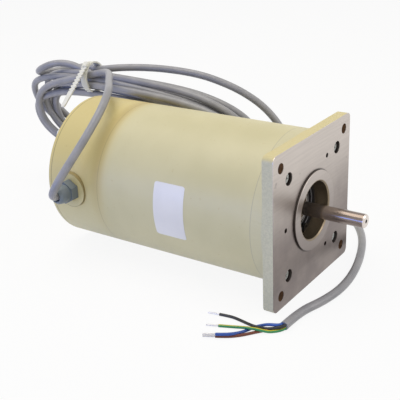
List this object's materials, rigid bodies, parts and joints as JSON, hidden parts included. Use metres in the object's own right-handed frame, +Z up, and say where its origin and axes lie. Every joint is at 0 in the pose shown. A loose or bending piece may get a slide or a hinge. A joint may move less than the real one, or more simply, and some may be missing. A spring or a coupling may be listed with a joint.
{
  "type": "stepper motor",
  "caption": "Flange-mounted stepper motor: square bolted flange with round pilot and slim shaft, long round painted body, side cable gland and tied cable coil with bare cores.",
  "frame": {"origin": "centre of the flange's front face, on the shaft axis", "axes": "+X out along the shaft, +Z up, with one edge of the square flange down"},
  "size_m": [0.3617, 0.2172, 0.1242],
  "materials": {
    "flange_metal": "bare brushed front face, rough cream paint on the sides and back",
    "cream_paint": "satin cream paint",
    "bell_metal": "as cast",
    "lamination_steel": "stacked sheet steel",
    "white_nylon": "matte",
    "winding_wire": "lacquered copper wire",
    "shaft_steel": "ground",
    "magnet": "sintered, plated",
    "bearing_steel": "ground",
    "spring_steel": "blackened",
    "screw_steel": "zinc plated",
    "gland_plastic": "satin",
    "seal_rubber": "matte",
    "terminal_plastic": "matte",
    "cable_jacket": "satin",
    "tie_nylon": "satin",
    "core_black": "satin",
    "core_earth": "satin, with a yellow stripe",
    "core_blue": "satin",
    "core_brown": "satin",
    "tinned_copper": "tinned"
  },
  "bodies": {
    "stator": {"front_flange": "flange_metal", "stator_housing": "cream_paint", "rear_end_bell": "bell_metal", "rear_cover": "cream_paint", "rear_plate": "cream_paint", "stator_core": "lamination_steel", "front_insulator": "white_nylon", "rear_insulator": "white_nylon", "stator_windings": "winding_wire", "front_bearing_outer_ring": "bearing_steel", "rear_bearing_outer_ring": "bearing_steel", "bearing_circlip": "spring_steel", "preload_washer": "spring_steel", "flange_screws": "screw_steel", "end_bell_screws": "screw_steel", "cover_screws": "screw_steel", "gland_body": "gland_plastic", "gland_dome_nut": "gland_plastic", "gland_locknut": "gland_plastic", "gland_seal": "seal_rubber", "cable_entry": "cable_jacket", "terminal_block": "terminal_plastic", "terminal_screws": "screw_steel", "cable_coil": "cable_jacket", "cable_lead": "cable_jacket", "cable_tail": "cable_jacket", "cable_tie": "tie_nylon", "core_black": "core_black", "core_earth": "core_earth", "core_blue": "core_blue", "core_brown": "core_brown", "core_strands": "tinned_copper"},
    "rotor": {"shaft": "shaft_steel", "rotor_magnet": "magnet", "rotor_cup_front": "lamination_steel", "rotor_cup_rear": "lamination_steel", "front_bearing_inner_ring": "bearing_steel", "rear_bearing_inner_ring": "bearing_steel"},
    "front_ball_set": {"front_bearing_balls": "bearing_steel", "front_bearing_cage": "white_nylon"},
    "rear_ball_set": {"rear_bearing_balls": "bearing_steel", "rear_bearing_cage": "white_nylon"}
  },
  "joints": [
    {"name": "rotor_spin", "type": "hinge", "parent": "stator", "child": "rotor", "pos_m": [0, 0, 0], "axis": [1, 0, 0], "continuous": true},
    {"name": "front_balls_roll", "type": "hinge", "parent": "stator", "child": "front_ball_set", "pos_m": [-0.0165, 0, 0], "axis": [1, 0, 0], "continuous": true},
    {"name": "rear_balls_roll", "type": "hinge", "parent": "stator", "child": "rear_ball_set", "pos_m": [-0.14, 0, 0], "axis": [1, 0, 0], "continuous": true}
  ],
  "couplings": [
    {"joint": "front_balls_roll", "follows": "rotor_spin", "ratio": 0.38246},
    {"joint": "rear_balls_roll", "follows": "rotor_spin", "ratio": 0.38246}
  ]
}
